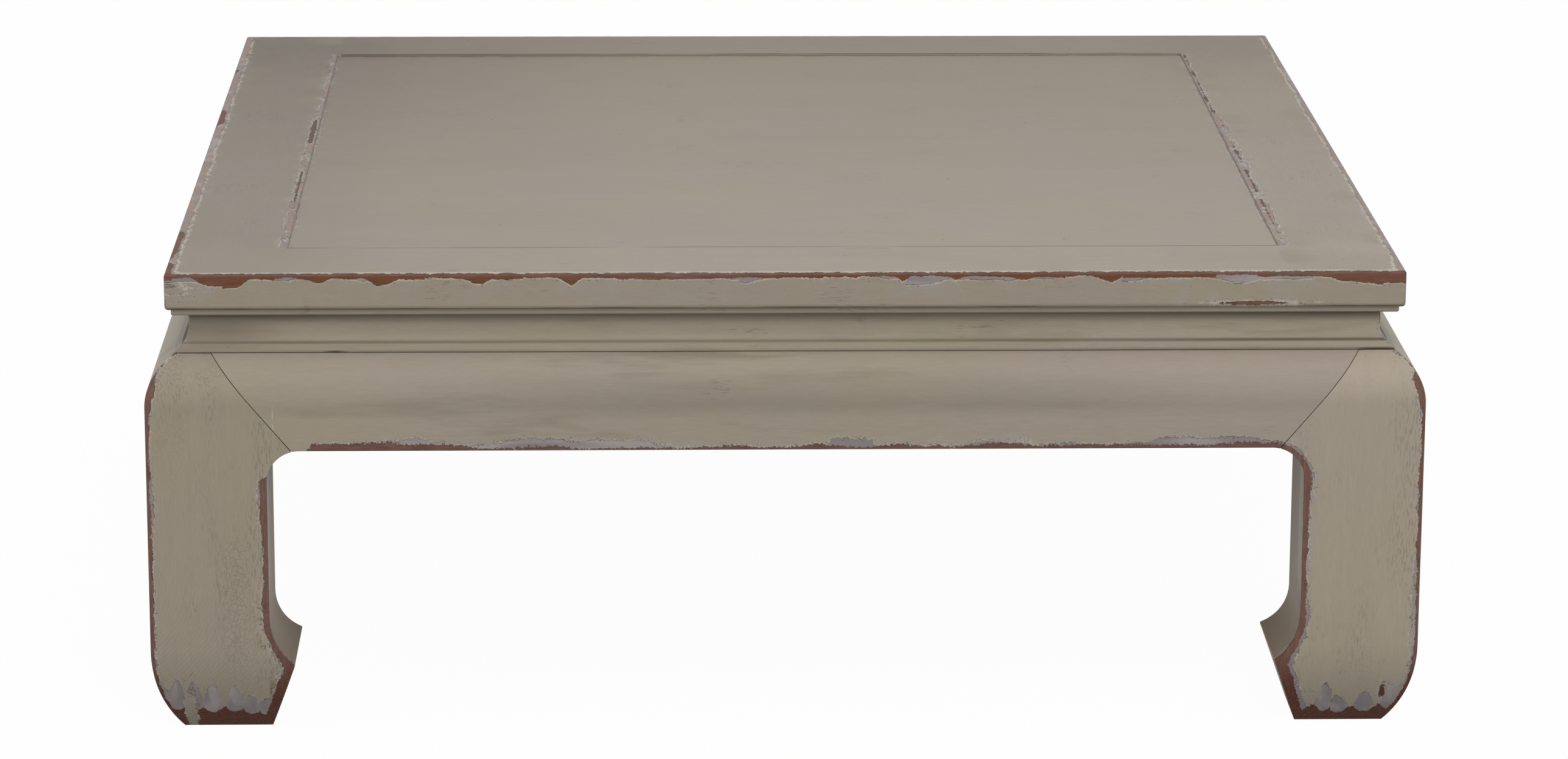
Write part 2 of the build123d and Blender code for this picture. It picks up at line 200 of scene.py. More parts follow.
class Surface:
    """The node tree of one material, with its place on the piece as fields."""

    def __init__(self, name):
        self.material = bpy.data.materials.new(name)
        self.material.use_nodes = True
        self.tree = self.material.node_tree
        self.tree.nodes.clear()
        place = add_node(self.tree, "ShaderNodeTexCoord")
        apart = add_node(
            self.tree, "ShaderNodeSeparateXYZ", None, {0: Field(self.tree, place.outputs["Object"])}
        )
        self.x, self.y, self.z = (Field(self.tree, socket) for socket in apart.outputs)
        self.across = size_of(self.x)
        self.back = size_of(self.y)

    def point(self, x, y, z):
        node = add_node(self.tree, "ShaderNodeCombineXYZ", None, {0: x, 1: y, 2: z})
        return Field(self.tree, node.outputs[0])

    def clouds(self, scale, stretch=(1, 1, 1), detail=2.0, rough=0.5, shift=0.0):
        """Noise about 0.5, scale per metre, with x, y and z stretched by their shares."""
        point = self.point(
            self.x * (1 / stretch[0]) + shift, self.y * (1 / stretch[1]), self.z * (1 / stretch[2])
        )
        node = add_node(
            self.tree,
            "ShaderNodeTexNoise",
            None,
            {"Vector": point, "Scale": scale, "Detail": detail, "Roughness": rough},
        )
        return Field(self.tree, node.outputs[0])

    def cells(self, scale, feature="F1", stray=0.0):
        """The distance and the random number of cells, scale of them to a metre."""
        point = self.point(self.x, self.y, self.z)
        if stray:
            sideways = (self.clouds(90, detail=3, shift=51.0) - 0.5) * stray
            upwards = (self.clouds(90, detail=3, shift=52.0) - 0.5) * stray
            point = self.point(self.x + sideways, self.y + sideways, self.z + upwards)
        node = add_node(
            self.tree, "ShaderNodeTexVoronoi", {"feature": feature}, {"Vector": point, "Scale": scale}
        )
        distance = Field(self.tree, node.outputs["Distance"])
        if feature == "DISTANCE_TO_EDGE":
            return distance, None
        colour = Field(self.tree, node.outputs["Color"])
        apart = add_node(self.tree, "ShaderNodeSeparateColor", None, {0: colour})
        return distance, Field(self.tree, apart.outputs[0])

    def lobes(self, along, scale, shift=0.0, stray=0.0):
        """Places side by side along a side of the table, scale of them to a metre: how far off the
        middle of its place a point is, as a share of a place's width, and the place's random number."""
        run = along + (self.clouds(32, detail=2, shift=shift) - 0.5) * stray + shift
        node = add_node(
            self.tree, "ShaderNodeTexVoronoi", {"voronoi_dimensions": "1D"}, {"W": run, "Scale": scale}
        )
        colour = Field(self.tree, node.outputs["Color"])
        apart = add_node(self.tree, "ShaderNodeSeparateColor", None, {0: colour})
        return Field(self.tree, node.outputs["Distance"]), Field(self.tree, apart.outputs[0])

    def finish(self, colour, roughness, height):
        """The shader: satin paint or wood, with its relief in metres."""
        bump = add_node(
            self.tree, "ShaderNodeBump", None, {"Strength": 1.0, "Distance": 1.0, "Height": height}
        )
        shader = add_node(
            self.tree,
            "ShaderNodeBsdfPrincipled",
            None,
            {
                "Base Color": colour,
                "Roughness": roughness,
                "Specular IOR Level": 0.22,
                "Normal": Field(self.tree, bump.outputs[0]),
            },
        )
        output = add_node(self.tree, "ShaderNodeOutputMaterial")
        self.tree.links.new(shader.outputs[0], output.inputs["Surface"])
        return self.material


# ---------------------------------------------------------------- paint, undercoat and wood

GREIGE = paint_colour(160, 150, 133)
GREIGE_WARM = paint_colour(160, 151, 127)
GREIGE_PINK = paint_colour(160, 148, 138)
GREIGE_AGED = paint_colour(160, 145, 128)
# Greige in shade, for the painted shade on the legs' inner sides.
GREIGE_IN_SHADE = paint_colour(134, 117, 97)
SMUDGE = paint_colour(134, 126, 108)
CREAM = paint_colour(198, 191, 178)
UNDERCOAT = paint_colour(139, 130, 130)
UNDERCOAT_PALE = paint_colour(163, 156, 153)
MAUVE = paint_colour(150, 129, 120)
WOOD_ORANGE = paint_colour(110, 68, 45)
WOOD_BROWN = paint_colour(115, 85, 74)
WOOD_DARK = paint_colour(104, 78, 70)
WOOD_DAMP = paint_colour(95, 58, 46)
OLIVE = paint_colour(92, 84, 70)
# The dark of dirt, also used for painted shade and painted shadow.
DIRT_AND_SHADE = paint_colour(74, 62, 52)
FLOOR_WHITE = (0.9, 0.9, 0.9, 1.0)
FLOOR_GREY = (0.32, 0.32, 0.32, 1.0)

ALONG_X = (8, 1, 1)
ALONG_Y = (1, 8, 1)
ALONG_Z = (1, 1, 8)


def greige_paint(surface, along, warm, tone, smudge, grime_and_shade, aged=0.0, side_shade=0.0):
    """The top coat: brushed along the wood, mottled, with small dark pits and patches of fine dry strokes."""
    warmth = between(rise(surface.clouds(6, detail=3), 0.35, 0.70), warm - 0.18, warm + 0.18)
    colour = mixed(warmth, GREIGE_PINK, GREIGE_WARM)
    colour = mixed(rise(surface.clouds(14, detail=3, shift=3.0), 0.45, 0.75) * 0.6, colour, GREIGE)
    colour = mixed(aged, colour, GREIGE_AGED)
    strokes = surface.clouds(150, along, detail=4, rough=0.7)
    bristles = surface.clouds(760, along, detail=3, rough=0.7, shift=2.0)
    broad = surface.clouds(22, along, detail=2, shift=5.0)
    colour = darkened(colour, (0.80 + strokes * 0.13 + bristles * 0.20 + broad * 0.07) * tone)
    colour = mixed(smudge, colour, SMUDGE)
    # Painted shade: mixed towards the greige in shade.
    colour = mixed(side_shade, colour, GREIGE_IN_SHADE)
    patches = rise(surface.clouds(19, detail=2, shift=16.0), 0.60, 0.70)
    dry_strokes = rise(surface.clouds(860, along, detail=3, shift=15.0), 0.57, 0.66) * patches
    distance, chance = surface.cells(60)
    pit = rise(distance, 0.075, 0.045) * rise(chance, 0.90, 0.92)
    # Pits, dry strokes and dirt darken the paint, and so does painted shade where a finish passes it in.
    colour = mixed(greatest(dry_strokes * 0.28, pit * 0.7, grime_and_shade), colour, DIRT_AND_SHADE)
    relief = strokes * (0.10 * MM) + bristles * (0.06 * MM) - pit * (0.25 * MM) - dry_strokes * (0.10 * MM)
    return colour, relief


def bare_wood_look(surface, along, orange, dark, darkest=WOOD_DARK):
    """Red-brown wood with its grain: more orange where freshly rubbed, darker where damp or dirty."""
    grain = surface.clouds(420, along, detail=4, rough=0.7, shift=2.0)
    colour = mixed(orange, WOOD_BROWN, WOOD_ORANGE)
    colour = mixed(dark, colour, darkest)
    return darkened(colour, 0.25 + grain * 1.5)


def top_shade_and_age(surface):
    """How dark and how brown the top's paint is: darker towards its back and left end, which is painted
    shade, and a little browner there.
    """
    to_back, to_left = rise(surface.y, -0.25, 0.42), rise(surface.x, -0.05, -0.38)
    corners = greatest(rise(surface.y, 0.15, 0.40), rise(surface.y, -0.42, -0.46))
    corners = corners * rise(surface.x, 0.32, 0.43)
    tone = 0.90 - to_back * 0.06 - rise(surface.y, 0.25, 0.42) * 0.03
    tone = tone - to_left * (0.05 + to_back * 0.13) - rise(surface.x, -0.31, -0.40) * 0.06 - corners * 0.06
    return tone, to_back * 0.62 + to_left * 0.20


def worn_coats(
    surface, along, bare, under, wood, warm=0.5, tone=1.0, smudge=0.0, grime_and_shade=0.0, mauve=0.0, dents=0.0,
    rim_width=1.2 * MM, scratch=0.0, aged=0.0, side_shade=0.0,
):
    """Paint over undercoat over wood. bare and under are distances in metres to the borders of the
    bare wood and of the undercoat: below 0 what lies over them has rubbed off."""
    paint, relief = greige_paint(surface, along, warm, tone, smudge, grime_and_shade, aged, side_shade)
    border = least(bare, under)
    thinned = rise(border, 9 * MM, 0.0) * rise(surface.clouds(45, detail=3, shift=14.0), 0.46, 0.66)
    paint = mixed(thinned * 0.4, paint, UNDERCOAT_PALE)
    flaking = surface.clouds(60, detail=2, shift=4.0)
    # A pale cream rim along the paint's torn borders, where the paint thins: partly the paint's own colour,
    # partly a painted highlight of the cut edge.
    rim = rise(border, rim_width, rim_width * 0.3) * rise(flaking, 0.32, 0.56)
    paint = mixed(greatest(rim * 0.6, scratch), paint, CREAM)
    crumbs = rise(surface.clouds(480, detail=2, shift=1.0), 0.60, 0.66) * rise(border, 4 * MM, 0.5 * MM)
    paint = mixed(crumbs * 0.6, paint, DIRT_AND_SHADE)

    brushed = rise(surface.clouds(90, along, detail=3, shift=6.0), 0.4, 0.7)
    undercoat = mixed(brushed, UNDERCOAT, UNDERCOAT_PALE)
    undercoat = mixed(rise(surface.clouds(45, detail=2, shift=8.0), 0.40, 0.55) * mauve, undercoat, MAUVE)

    under_share = rise(under, 0.15 * MM, -0.15 * MM)
    bare_share = rise(bare, 0.15 * MM, -0.15 * MM)
    colour = mixed(under_share, paint, undercoat)
    colour = mixed(bare_share, colour, wood)
    shadow = rise(border, -0.9 * MM, -0.1 * MM) * rise(border, 0.25 * MM, 0.0) * rise(flaking, 0.64, 0.42)
    colour = mixed(shadow * 0.65, colour, DIRT_AND_SHADE)

    height = relief * (1 - under_share) - under_share * (0.22 * MM) - bare_share * (0.18 * MM) - dents
    roughness = 0.52 + bare_share * 0.12 + under_share * 0.06
    return surface.finish(colour, roughness, height)


def along_part(value, start, end):
    """1 from start to end, fading over the last 20 mm at either side."""
    return rise(value, start - 10 * MM, start + 10 * MM) * rise(value, end + 10 * MM, end - 10 * MM)


def dash(surface, middle, width, height):
    """Distance in metres outside an oval mark on the front, width by height: below 0 inside."""
    along, up = surface.x - middle[0], surface.z - middle[1]
    off_front = greatest(surface.y + TOP_HALF - 12 * MM, 0)
    oval = (span(along * (2 / width), up * (2 / height)) - 1) * (min(width, height) / 2)
    return oval + off_front


# ---------------------------------------------------------------- distances to the arrises


def outer_outline(across, z):
    """How far inside the swelling outer outline of the legs, seen from one side."""
    swell_drop = SHOULDER - 0.8 * MM - BELLY
    swell_radius = (swell_drop**2 + SWELL**2) / (2 * SWELL)
    heel_radius = (HEEL_TOP**2 + HEEL_INSET**2) / (2 * HEEL_INSET)
    swell = swell_radius - span(greatest(across - (BODY_HALF - swell_radius), 0), greatest(z - BELLY, 0))
    heel = heel_radius - span(greatest(across - (BODY_HALF - heel_radius), 0), greatest(HEEL_TOP - z, 0))
    return least(swell, heel)


def opening_outline(across, z):
    """How far outside the opening between the legs: hem, rounded corner, leg, hoof and toe."""
    corner_middle = LEG_INNER - CORNER_RADIUS
    corner = span(greatest(across - corner_middle, 0), greatest(z - (HEM - CORNER_RADIUS), 0)) - CORNER_RADIUS
    hoof_drop = HOOF_TOP - TOE_LEVEL
    hoof_radius = (hoof_drop**2 + TOE_REACH**2) / (2 * TOE_REACH)
    hoof_middle = LEG_INNER - hoof_radius
    hoof = span(greatest(across - hoof_middle, 0), greatest(HOOF_TOP - z, 0)) - hoof_radius
    lean = atan2(TOE_REACH, TOE_LEVEL)
    toe = (across - LEG_INNER) * cos(lean) + z * sin(lean) + greatest(z - TOE_LEVEL, 0) * 10
    return least(greatest(corner, hoof), toe)


def arris_distances(surface):
    """Distances from the legs' outer corners, and from the arrises round the openings."""
    outer = outer_outline(surface.across, surface.z), outer_outline(surface.back, surface.z)
    opening = opening_outline(surface.across, surface.z), opening_outline(surface.back, surface.z)
    corner = greatest(outer[0], outer[1])
    arris = least(greatest(opening[0], outer[1]), greatest(outer[0], opening[1]))
    return corner, arris


def ragged_border(surface, reach, scale=90, shift=0.0, teeth=2.0 * MM):
    """How far a torn border strays, up to about a quarter of reach, with small teeth on it."""
    torn = (surface.clouds(scale, detail=6, rough=0.64, shift=shift) - 0.5) * reach
    return torn + (surface.clouds(420, detail=2, rough=0.6, shift=shift) - 0.5) * teeth


def corner_wear(surface, corner):
    """Legs' outer corners: a steady strip of wood that thins to a point under the ledge."""
    wander = surface.clouds(9, detail=2, shift=6.0)
    point = rise(surface.z, SHOULDER - 8 * MM, SHOULDER - 26 * MM)
    knocked = rise(surface.z, BELLY - 14 * MM, BELLY + 2 * MM) * (2.6 * MM)
    bare = corner - (3.0 * MM + (wander - 0.5) * (6 * MM) + knocked) * point
    patch = rise(surface.clouds(13, (1, 1, 1.8), detail=2, shift=11.0), 0.50, 0.66)
    return bare, bare - patch * (3.2 * MM) * point


def hem_wear(surface, arris):
    """Hem and inner arrises: wood all along, with deeper worn places and undercoat above it."""
    z = surface.z
    x = surface.x + (surface.clouds(150, detail=3, shift=28.0) - 0.5) * (14 * MM)
    wander = rise(surface.clouds(15, detail=2, shift=6.0), 0.42, 0.66)
    on_leg = rise(z, HEM - 4 * MM, HEM - 20 * MM)
    deep = rise(x, WORN_HEM[1] + 30 * MM, WORN_HEM[1] - 30 * MM)
    deep = deep * rise(x, WORN_HEM[0] - 4 * MM, WORN_HEM[0] + 4 * MM)
    deep = deep * (1 - on_leg) * rise(surface.y, 100 * MM - TOP_HALF, 50 * MM - TOP_HALF)
    on_hem = 1.8 * MM + wander * (3.0 * MM) + deep * (4.0 * MM)
    width = between(on_leg, on_hem, 3.6 * MM + wander * (2.0 * MM))
    width = width + rise(z, 68 * MM, 48 * MM) * (4.5 * MM)
    kept = rise(x, KEPT_CORNER[0] + 4 * MM, KEPT_CORNER[0] - 4 * MM)
    kept = kept * rise(z, KEPT_CORNER[1] - 6.5 * MM, KEPT_CORNER[1] + 6.5 * MM)
    kept = kept * rise(surface.y, 120 * MM - TOP_HALF, 100 * MM - TOP_HALF)
    bare = arris - width + kept * (14 * MM)
    patch = rise(surface.clouds(11, detail=2, shift=18.0), 0.50, 0.62)
    return bare, bare - patch * between(on_leg, 6.0 * MM, 2.6 * MM) * (1 - kept)


def foot_wear(surface, corner):
    """Feet: bare wood at the floor, and undercoat above it in rounded lobes and up the heels."""
    z = surface.z
    on_side = rise(surface.across - surface.back, -2 * MM, 2 * MM)
    distance, chance = surface.lobes(between(on_side, surface.x, surface.y), 56, 0.37, 2 * MM)
    lobe = greatest(1 - distance * distance * 4.4, 0)
    line = between(rise(surface.x, -0.3, 0.3), 20 * MM, 16 * MM) + (chance - 0.5) * (7 * MM)
    bare = z - line + lobe * (6 * MM)
    height = 11 * MM + rise(chance, 0.10, 0.70) * (11 * MM)
    under = z - line - lobe * height
    heel = rise(z, 46 * MM, 26 * MM) * rise(surface.clouds(26, detail=1, shift=21.0), 0.36, 0.5)
    kept = dash(surface, KEPT_TONGUE, 10 * MM, 48 * MM) + ragged_border(surface, 14 * MM, 130, 3.0)
    bare = greatest(bare, 0 - kept)
    under = greatest(least(under, corner - heel * (14 * MM)), 0 - kept)
    worm_hole = dash(surface, WORM_HOLE, 4 * MM, 12 * MM)
    return least(bare, worm_hole), under


def body_wear(surface, feet):
    """Borders of bare wood and undercoat on legs or aprons, and the distance from the arrises."""
    corner, arris = arris_distances(surface)
    bare_corner, under_corner = corner_wear(surface, corner)
    bare_hem, under_hem = hem_wear(surface, arris)
    bare, under = least(bare_corner, bare_hem), least(under_corner, under_hem)
    if feet:
        bare_foot, under_foot = foot_wear(surface, corner)
        bare, under = least(bare, bare_foot), least(under, under_foot)
    teeth = 3.5 * MM if feet else 7.0 * MM
    bare = bare + ragged_border(surface, 6 * MM, teeth=teeth)
    under = under + ragged_border(surface, 14 * MM if feet else 8 * MM, 120, 7.0, teeth)
    return bare, least(under, bare + 0.2 * MM), arris


def ring_lines(surface, middle, spacing, shift):
    """Growth lines, 0 to 1, curved round a middle."""
    wobble = surface.clouds(35, detail=3, shift=shift) * (9 * MM)
    distance = span(surface.across + surface.back - middle[0], surface.z - middle[1]) + wobble
    return calc("SINE", distance * (2 * pi / spacing)) * 0.5 + 0.5


def legs_finish():
    surface = Surface("worn_paint_on_legs")
    bare, under, arris = body_wear(surface, feet=True)
    low = rise(surface.z, 75 * MM, 25 * MM)
    orange = rise(surface.clouds(18, ALONG_Z, detail=2, shift=7.0), 0.50, 0.75) * 0.4 * (1 - low)
    wood = bare_wood_look(surface, ALONG_Z, orange, low, WOOD_DAMP)
    rings = ring_lines(surface, FOOT_RINGS, 2.6 * MM, 12.0)
    wood = darkened(wood, 1.0 - rise(rings, 0.4, 0.9) * low * 0.25)

    left = rise(surface.x, 20 * MM, -20 * MM)
    ridges = ring_lines(surface, LEG_RINGS, 3.0 * MM, 13.0)
    ridges = ridges * rise(surface.z, 170 * MM, 110 * MM) * rise(surface.z, 28 * MM, 55 * MM) * left
    edge, _ = surface.cells(190, "DISTANCE_TO_EDGE", 16 * MM)
    nearer = least(surface.across, surface.back)
    inner_third = along_part(nearer, LEG_INNER + 14 * MM, LEG_INNER + 36 * MM)
    cracked_part = inner_third * along_part(surface.z, 55 * MM, 165 * MM) * left
    elsewhere = rise(surface.clouds(17, (1, 1, 2), detail=3, shift=2.0), 0.54, 0.66)
    crackle = rise(edge, 0.06, 0.02) * greatest(cracked_part, elsewhere * 0.5)
    drying = rise(surface.clouds(900, (1, 1, 7), detail=3, shift=3.0), 0.54, 0.64)
    dry_lines = drying * rise(surface.clouds(22, (1, 1, 4), detail=3, shift=7.0), 0.46, 0.62)
    lumps = surface.clouds(330, detail=2, shift=17.0)
    crumbly = rise(arris, 15 * MM, 8 * MM) * rise(surface.z, 135 * MM, 105 * MM) * left
    dents = (crackle + dry_lines) * (0.12 * MM) - ridges * (0.08 * MM) - crumbly * lumps * (0.9 * MM)
    grime_and_shade = greatest(crackle * 0.17, dry_lines * 0.28, crumbly * rise(lumps, 0.45, 0.38) * 0.55)

    on_hoof = rise(surface.z, 135 * MM, 100 * MM)
    reach = TOP_HALF - 13 * MM + on_hoof * (26 * MM)
    off_front = rise(surface.back, reach + 2 * MM, reach - 2 * MM)
    inner_side = rise(surface.across, LEG_INNER + 1.5 * MM, LEG_INNER) * off_front
    # Painted shade: the left legs are painted darker than the right ones, a little more at their tops. The
    # paint is also darker towards the floor.
    tone = between(rise(surface.x, -0.35, 0.35), 0.98, 1.11) + ridges * 0.03 + crumbly * 0.10
    tone = tone - rise(surface.z, 0.25, 0.29) * left * 0.05 - rise(surface.z, 0.14, 0.04) * 0.07
    # Painted shade on the inner sides of the legs: a little darker on the shaft, and mixed towards greige in
    # shade, most on the hoof.
    tone = tone - inner_side * (1 - on_hoof) * 0.05
    return worn_coats(
        surface, ALONG_Z, bare, under, wood, tone=tone, grime_and_shade=grime_and_shade, dents=dents,
        side_shade=inner_side * between(on_hoof, 0.6, 0.95),
    )


def aprons_finish(name, along):
    """Painted outside; the hidden inner faces were left as dark wood."""
    surface = Surface(name)
    bare, under, _ = body_wear(surface, feet=False)
    outward = greatest(surface.across, surface.back)
    hidden = APRON_INNER + 0.6 * MM - outward
    orange = rise(surface.clouds(20, along, detail=2, shift=8.0), 0.50, 0.72) * 0.3
    wood = bare_wood_look(surface, along, orange, greatest(rise(hidden, 0.0, 0.1 * MM), 0.6))
    bare = least(bare, 0 - hidden)
    middle = rise(size_of(surface.x - 0.03), 0.40, 0.12)
    streaks = rise(surface.clouds(40, along, detail=4, rough=0.65, shift=9.0), 0.54, 0.70)
    belly = rise(surface.z, BELLY - 12 * MM, BELLY + 2 * MM)
    belly = belly * rise(surface.z, BELLY + 34 * MM, BELLY + 16 * MM)
    below = rise(surface.z, BELLY + 4 * MM, BELLY - 14 * MM)
    # Painted light and shade: the apron is painted darker along its belly, most in the middle, and lighter
    # below it.
    tone = 0.97 - belly * (0.02 + middle * 0.12) + below * 0.05
    scratch = rise(dash(surface, SCRATCH, 1.0 * MM, 22 * MM), 0.3 * MM, -0.2 * MM)
    scratch = scratch * rise(surface.clouds(300, detail=2, shift=29.0), 0.45, 0.55) * 0.6
    return worn_coats(
        surface, along, bare, under, wood, warm=0.4, tone=tone, smudge=streaks * (0.40 + middle * 0.25),
        scratch=scratch,
    )


def fascia_bands(surface):
    """How deep the bare wood and the undercoat reach below the top's arris. The paint ends in rounded
    tongues with drips of bare wood between them."""
    run = surface.x + surface.y
    distance, chance = surface.lobes(run, 25, 0.31, 18 * MM)
    depth = rise(surface.clouds(17, detail=1, shift=27.0), 0.40, 0.62)
    right_corner = rise(surface.x, TOP_HALF - 75 * MM, TOP_HALF - 20 * MM)
    band = 3.2 * MM + chance * (2.2 * MM) + rise(distance, 0.28, 0.66) * depth * (7 * MM)
    distance, chance = surface.lobes(run, 16, 0.53, 18 * MM)
    under_band = 0.6 * MM + chance * (6.4 * MM) + rise(distance, 0.28, 0.66) * (4 * MM)
    return band + right_corner * (5.5 * MM), greatest(band * 0.8, under_band)


def cracked_corner(surface):
    """The front left corner of the top, where undercoat shows through cracks along the wood."""
    cracks = surface.clouds(330, ALONG_X, detail=3, rough=0.65, shift=43.0)
    fading = rise(surface.x, -TOP_HALF, 60 * MM - TOP_HALF)
    fading = fading + rise(surface.z, TOP_LEVEL - 12 * MM, TOP_LEVEL - 30 * MM)
    return greatest((0.53 + fading * 0.3 - cracks) * (12 * MM), TOP_HALF - surface.back - 1.5 * MM)


def lip_wear(surface, torn):
    """Strips along the side rails' inner lips: undercoat with islands of paint, and dark worn places."""
    past = size_of(surface.across - LIP) + greatest(surface.back - LIP, 0) * 4 + (TOP_LEVEL - surface.z) * 0.3
    left, right = rise(surface.x, 10 * MM, -10 * MM), rise(surface.x, -10 * MM, 10 * MM)
    thin = between(right, 0.35 + rise(surface.y, 0.08, 0.20) * 0.65, rise(surface.y, 0.06, 0.16))
    width = (5.0 * MM + surface.clouds(30, detail=3, shift=13.0) * (6 * MM)) * (1 - thin * 0.62)
    islands = (surface.clouds(75, (1, 3, 1), detail=3, shift=19.0) - 0.54) * (36 * MM)
    under = greatest(past - width, islands) + torn
    worn = along_part(surface.y, *LEFT_LIP_WORN[0]) + along_part(surface.y, *LEFT_LIP_WORN[1]) * 0.6
    worn = left * worn
    broken = rise(surface.clouds(34, detail=3, shift=44.0), 0.40, 0.56)
    worn = worn + right * along_part(surface.y, *RIGHT_LIP_WORN[0]) * broken * 0.85
    worn = worn + right * along_part(surface.y, *RIGHT_LIP_WORN[1]) * broken * 0.6
    across = size_of(past - between(thin, 4.5 * MM, 2.0 * MM))
    bare = across - worn * between(thin, 3.0 * MM, 2.0 * MM) + 0.6 * MM + torn * between(thin, 1.0, 0.6)
    return bare, under


def rails_finish(name, along):
    """The top's frame: wood shows along its upper arris, undercoat along its ends and inner lips."""
    surface = Surface(name)
    end, side = TOP_HALF - surface.across, TOP_HALF - surface.back
    depth = TOP_LEVEL - surface.z
    on_top = rise(depth, 3 * MM, 1.5 * MM)
    torn = ragged_border(surface, 5 * MM, 110, teeth=1.4 * MM)
    torn_under = ragged_border(surface, 9 * MM, 110, 7.0, 1.2 * MM)

    band, under_band = fascia_bands(surface)
    front_bare = greatest(side - 1.5 * MM, depth - band)
    front_under = least(greatest(side - 1.5 * MM, depth - under_band), cracked_corner(surface))
    strip = 4.0 * MM + surface.clouds(16, detail=3, shift=3.0) * (7 * MM)
    near_front = along_part(surface.y, -TOP_HALF - 100 * MM, 30 * MM - TOP_HALF)
    strip = strip - rise(surface.x, -0.2, 0.2) * (1 - near_front) * (2.5 * MM)
    worn_places = rise(surface.clouds(11, detail=2, shift=41.0), 0.50, 0.58) * rise(surface.x, 0.2, -0.2)
    end_bare = greatest(end - 0.8 * MM, depth - band)
    end_bare = least(end_bare, greatest(end - strip * worn_places * 0.8, depth - 3 * MM))
    end_under = greatest(end - strip, depth - under_band)
    lip_bare, lip_under = lip_wear(surface, torn_under)

    chip = dash(surface, CHIP, 52 * MM, 3.2 * MM)
    outward = greatest(surface.across, surface.back)
    hidden = greatest(outward - WAIST_INNER, surface.z - PANEL_UNDERSIDE + 0.5 * MM)
    bare = least(front_bare + torn, end_bare + torn, lip_bare, chip + torn, hidden)
    under = least(front_under + torn, end_under + torn_under, lip_under, bare + 0.2 * MM)

    fresh = rise(surface.clouds(34, along, detail=3, shift=7.0), 0.36, 0.58) * rise(depth, 1.2 * MM, 2.4 * MM)
    fresh = fresh * rise(depth, 20 * MM, 14 * MM)
    wood = bare_wood_look(surface, along, fresh, on_top * 0.6)
    wood = mixed(rise(size_of(surface.across - LIP), 24 * MM, 14 * MM) * on_top * 0.7, wood, OLIVE)
    near_edge = rise(least(end, surface.across - LIP), 50 * MM, 5 * MM)
    near_edge = near_edge * rise(surface.across, LIP - 6 * MM, LIP)
    smudge = rise(surface.clouds(14, detail=4, shift=9.0), 0.46, 0.68)
    smudge = smudge * greatest(near_edge, 0.25) * 0.6 * on_top
    # A dark line along the panel joint: the joint's dirt, drawn wider than the joint as painted shade of the
    # gap.
    off_joint = size_of(surface.back - LIP - 2 * MM) + greatest(surface.across - LIP, 0) * 4
    joint = rise(off_joint, 1.8 * MM, 1.0 * MM)
    uneven = rise(surface.clouds(8, detail=2, shift=23.0), 0.32, 0.48)
    over_bead = rise(size_of(surface.z - RAIL_UNDERSIDE - 6.6 * MM), 1.0 * MM, 0.4 * MM)
    dotted = rise(surface.clouds(20, ALONG_X, detail=4, rough=0.7, shift=25.0), 0.48, 0.56)
    grime_and_shade = greatest(joint * on_top * uneven * 0.6, over_bead * dotted * (1 - on_top) * 0.65)
    # The frame's paint darker towards its back and left end is painted shade.
    darker, aged = top_shade_and_age(surface)
    # Painted light and shade: the frame's top is painted lighter than its edges, most near the front, and
    # darker towards its left end and back.
    tone = 0.925 + on_top * (0.075 + rise(surface.y, -0.36, -0.42) * 0.05)
    tone = tone - rise(surface.x, -0.30, -0.45) * on_top * 0.07 - rise(surface.y, 0.30, 0.45) * 0.11
    tone = tone * between(on_top, 1.0, darker)
    # Near the front and end arrises the pale rim on the top is widened: a painted highlight along the arris.
    near_arris = rise(side, 14 * MM, 7 * MM) * (3.2 * MM) + rise(end, 20 * MM, 12 * MM) * (1.8 * MM)
    rim_width = 1.6 * MM + near_arris * on_top
    return worn_coats(
        surface, along, bare, under, wood, warm=between(on_top, 0.5, 0.2), tone=tone, smudge=smudge,
        grime_and_shade=grime_and_shade, mauve=on_top * 0.95, rim_width=rim_width, aged=aged * on_top,
    )


def panel_finish():
    """The even panel; its underside was left as dark wood."""
    surface = Surface("worn_paint_on_panel")
    edge = LIP - greatest(surface.across, surface.back)
    wander = rise(surface.clouds(15, detail=2, shift=13.0), 0.45, 0.6)
    under = edge - wander * (2.0 * MM) + ragged_border(surface, 3 * MM)
    above = surface.z - (TOP_LEVEL - 10 * MM)
    bare = least(under + 4 * MM, above)
    wood = bare_wood_look(surface, ALONG_X, wander, rise(above, MM, -MM))
    smudge = rise(surface.clouds(5, (3, 1, 1), detail=3, shift=9.0), 0.45, 0.8) * 0.2
    # The panel's paint darker towards its back and left end is painted shade.
    darker, aged = top_shade_and_age(surface)
    # Painted shade: the panel is also made darker towards its back.
    tone = (1.0 - surface.y * 0.1) * darker
    return worn_coats(surface, ALONG_X, bare, under, wood, warm=0.2, tone=tone, smudge=smudge, aged=aged)


